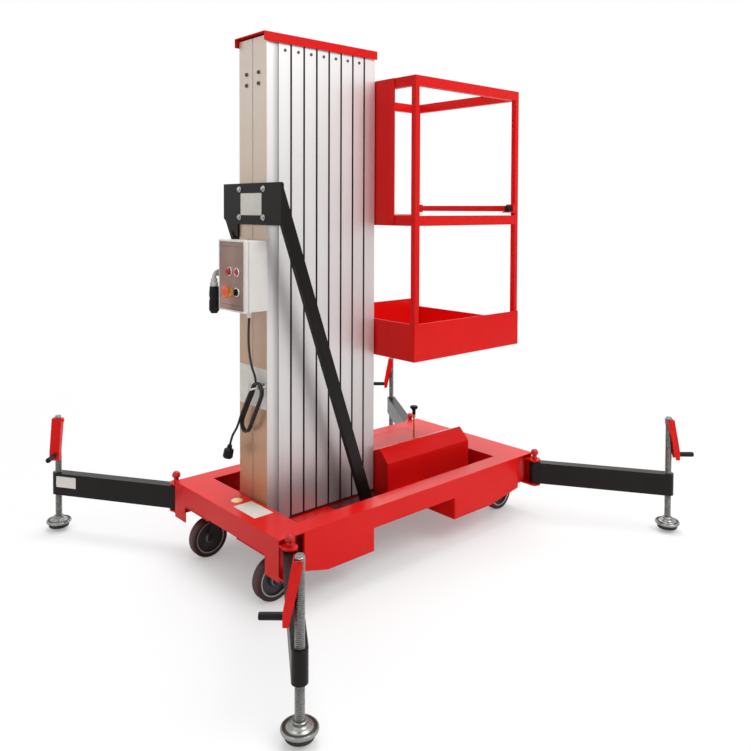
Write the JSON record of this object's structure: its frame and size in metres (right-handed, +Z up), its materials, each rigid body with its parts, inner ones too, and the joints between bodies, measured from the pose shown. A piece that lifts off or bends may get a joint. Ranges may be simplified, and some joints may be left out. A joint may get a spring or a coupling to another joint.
{
  "type": "vertical mast lift",
  "caption": "Push-around vertical mast lift: telescopic aluminium mast on a wheeled steel tray with swinging jack legs, and a railed basket for one person.",
  "frame": {"origin": "on the floor under the middle of the tray, on which the four wheels stand", "axes": "+X from the mast towards the basket, +Y to the left when facing +X, +Z up"},
  "size_m": [2.0892, 1.8612, 1.99],
  "materials": {
    "red_paint": "gloss powder coat",
    "black_paint": "satin powder coat",
    "aluminium": "natural anodized",
    "box_white": "satin",
    "button_black": "gloss",
    "black_plastic": "matte",
    "white_plastic": "matte",
    "stop_orange": "gloss",
    "red_plastic": "gloss",
    "cord_black": "matte",
    "zinc_steel": "zinc plated",
    "machinery": "satin",
    "wheel_tread": "polyurethane",
    "wheel_hub": "painted"
  },
  "bodies": {
    "machine": {"base_tray": "red_paint", "power_cover": "red_paint", "power_unit": "machinery", "lowering_knob": "black_plastic", "mast_section_1": "aluminium", "brace_plate": "black_paint", "strut_right": "black_paint", "strut_left": "black_paint", "control_box": "box_white", "control_buttons": "button_black", "stop_button": "stop_orange", "side_socket": "black_plastic", "cord_gland": "white_plastic", "power_cord": "cord_black", "power_cord_tail": "cord_black", "cord_hank": "cord_black", "cord_hook": "zinc_steel", "cord_plug": "black_plastic", "leg_pins": "red_plastic", "fixed_forks": "zinc_steel"},
    "stage_2": {"mast_section_2": "aluminium"},
    "stage_3": {"mast_section_3": "aluminium"},
    "stage_4": {"mast_section_4": "aluminium"},
    "stage_5": {"mast_section_5": "aluminium"},
    "stage_6": {"mast_section_6": "aluminium"},
    "stage_7": {"mast_section_7": "aluminium"},
    "basket": {"mast_section_8": "aluminium", "mast_cap": "red_paint", "carrier_plate": "red_paint", "basket_tray": "red_paint", "basket_frame": "red_paint"},
    "gate": {"gate_bar": "red_paint"},
    "leg_rear_right": {"leg_rear_right": "black_paint"},
    "jack_rear_right": {"jack_rear_right": "zinc_steel", "crank_rear_right": "red_paint", "grip_rear_right": "black_plastic"},
    "leg_rear_left": {"leg_rear_left": "black_paint"},
    "jack_rear_left": {"jack_rear_left": "zinc_steel", "crank_rear_left": "red_paint", "grip_rear_left": "black_plastic"},
    "leg_front_right": {"leg_front_right": "black_paint"},
    "jack_front_right": {"jack_front_right": "zinc_steel", "crank_front_right": "red_paint", "grip_front_right": "black_plastic"},
    "leg_front_left": {"leg_front_left": "black_paint"},
    "jack_front_left": {"jack_front_left": "zinc_steel", "crank_front_left": "red_paint", "grip_front_left": "black_plastic"},
    "swivel_right": {"swivel_fork_right": "zinc_steel"},
    "swivel_left": {"swivel_fork_left": "zinc_steel"},
    "rear_wheel_right": {"rear_wheel_right_tread": "wheel_tread", "rear_wheel_right_hub": "wheel_hub"},
    "rear_wheel_left": {"rear_wheel_left_tread": "wheel_tread", "rear_wheel_left_hub": "wheel_hub"},
    "front_wheel_right": {"front_wheel_right_tread": "wheel_tread", "front_wheel_right_hub": "wheel_hub"},
    "front_wheel_left": {"front_wheel_left_tread": "wheel_tread", "front_wheel_left_hub": "wheel_hub"}
  },
  "joints": [
    {"name": "mast_lift", "type": "slide", "parent": "machine", "child": "stage_2", "axis": [0, 0, 1], "range_m": [0, 1.3]},
    {"name": "mast_lift_3", "type": "slide", "parent": "stage_2", "child": "stage_3", "axis": [0, 0, 1], "range_m": [0, 1.3]},
    {"name": "mast_lift_4", "type": "slide", "parent": "stage_3", "child": "stage_4", "axis": [0, 0, 1], "range_m": [0, 1.3]},
    {"name": "mast_lift_5", "type": "slide", "parent": "stage_4", "child": "stage_5", "axis": [0, 0, 1], "range_m": [0, 1.3]},
    {"name": "mast_lift_6", "type": "slide", "parent": "stage_5", "child": "stage_6", "axis": [0, 0, 1], "range_m": [0, 1.3]},
    {"name": "mast_lift_7", "type": "slide", "parent": "stage_6", "child": "stage_7", "axis": [0, 0, 1], "range_m": [0, 1.3]},
    {"name": "mast_lift_8", "type": "slide", "parent": "stage_7", "child": "basket", "axis": [0, 0, 1], "range_m": [0, 1.3]},
    {"name": "gate_hinge", "type": "hinge", "parent": "basket", "child": "gate", "pos_m": [0.576, 0.262, 1.3595], "axis": [-1, 0, 0], "range_deg": [0, 80]},
    {"name": "leg_swing_rear_right", "type": "hinge", "parent": "machine", "child": "leg_rear_right", "pos_m": [-0.66, -0.3905, 0.2], "axis": [0, 0, 1], "range_deg": [0, 123]},
    {"name": "jack_slide_rear_right", "type": "slide", "parent": "leg_rear_right", "child": "jack_rear_right", "axis": [0, 0, 1], "range_m": [-0.04, 0.065]},
    {"name": "leg_swing_rear_left", "type": "hinge", "parent": "machine", "child": "leg_rear_left", "pos_m": [-0.66, 0.3905, 0.2], "axis": [0, 0, 1], "range_deg": [-123, 0]},
    {"name": "jack_slide_rear_left", "type": "slide", "parent": "leg_rear_left", "child": "jack_rear_left", "axis": [0, 0, 1], "range_m": [-0.04, 0.065]},
    {"name": "leg_swing_front_right", "type": "hinge", "parent": "machine", "child": "leg_front_right", "pos_m": [0.66, -0.3905, 0.2], "axis": [0, 0, 1], "range_deg": [-123, 0]},
    {"name": "jack_slide_front_right", "type": "slide", "parent": "leg_front_right", "child": "jack_front_right", "axis": [0, 0, 1], "range_m": [-0.04, 0.065]},
    {"name": "leg_swing_front_left", "type": "hinge", "parent": "machine", "child": "leg_front_left", "pos_m": [0.66, 0.3905, 0.2], "axis": [0, 0, 1], "range_deg": [0, 123]},
    {"name": "jack_slide_front_left", "type": "slide", "parent": "leg_front_left", "child": "jack_front_left", "axis": [0, 0, 1], "range_m": [-0.04, 0.065]},
    {"name": "swivel_right", "type": "hinge", "parent": "machine", "child": "swivel_right", "pos_m": [-0.572, -0.222, 0.18], "axis": [0, 0, 1], "continuous": true},
    {"name": "rear_wheel_spin_right", "type": "hinge", "parent": "swivel_right", "child": "rear_wheel_right", "pos_m": [-0.612, -0.222, 0.076], "axis": [0, 1, 0], "continuous": true},
    {"name": "front_wheel_spin_right", "type": "hinge", "parent": "machine", "child": "front_wheel_right", "pos_m": [0.612, -0.222, 0.076], "axis": [0, 1, 0], "continuous": true},
    {"name": "swivel_left", "type": "hinge", "parent": "machine", "child": "swivel_left", "pos_m": [-0.572, 0.222, 0.18], "axis": [0, 0, 1], "continuous": true},
    {"name": "rear_wheel_spin_left", "type": "hinge", "parent": "swivel_left", "child": "rear_wheel_left", "pos_m": [-0.612, 0.222, 0.076], "axis": [0, 1, 0], "continuous": true},
    {"name": "front_wheel_spin_left", "type": "hinge", "parent": "machine", "child": "front_wheel_left", "pos_m": [0.612, 0.222, 0.076], "axis": [0, 1, 0], "continuous": true}
  ],
  "couplings": [
    {"joint": "mast_lift_3", "follows": "mast_lift", "ratio": 1},
    {"joint": "mast_lift_4", "follows": "mast_lift", "ratio": 1},
    {"joint": "mast_lift_5", "follows": "mast_lift", "ratio": 1},
    {"joint": "mast_lift_6", "follows": "mast_lift", "ratio": 1},
    {"joint": "mast_lift_7", "follows": "mast_lift", "ratio": 1},
    {"joint": "mast_lift_8", "follows": "mast_lift", "ratio": 1}
  ]
}
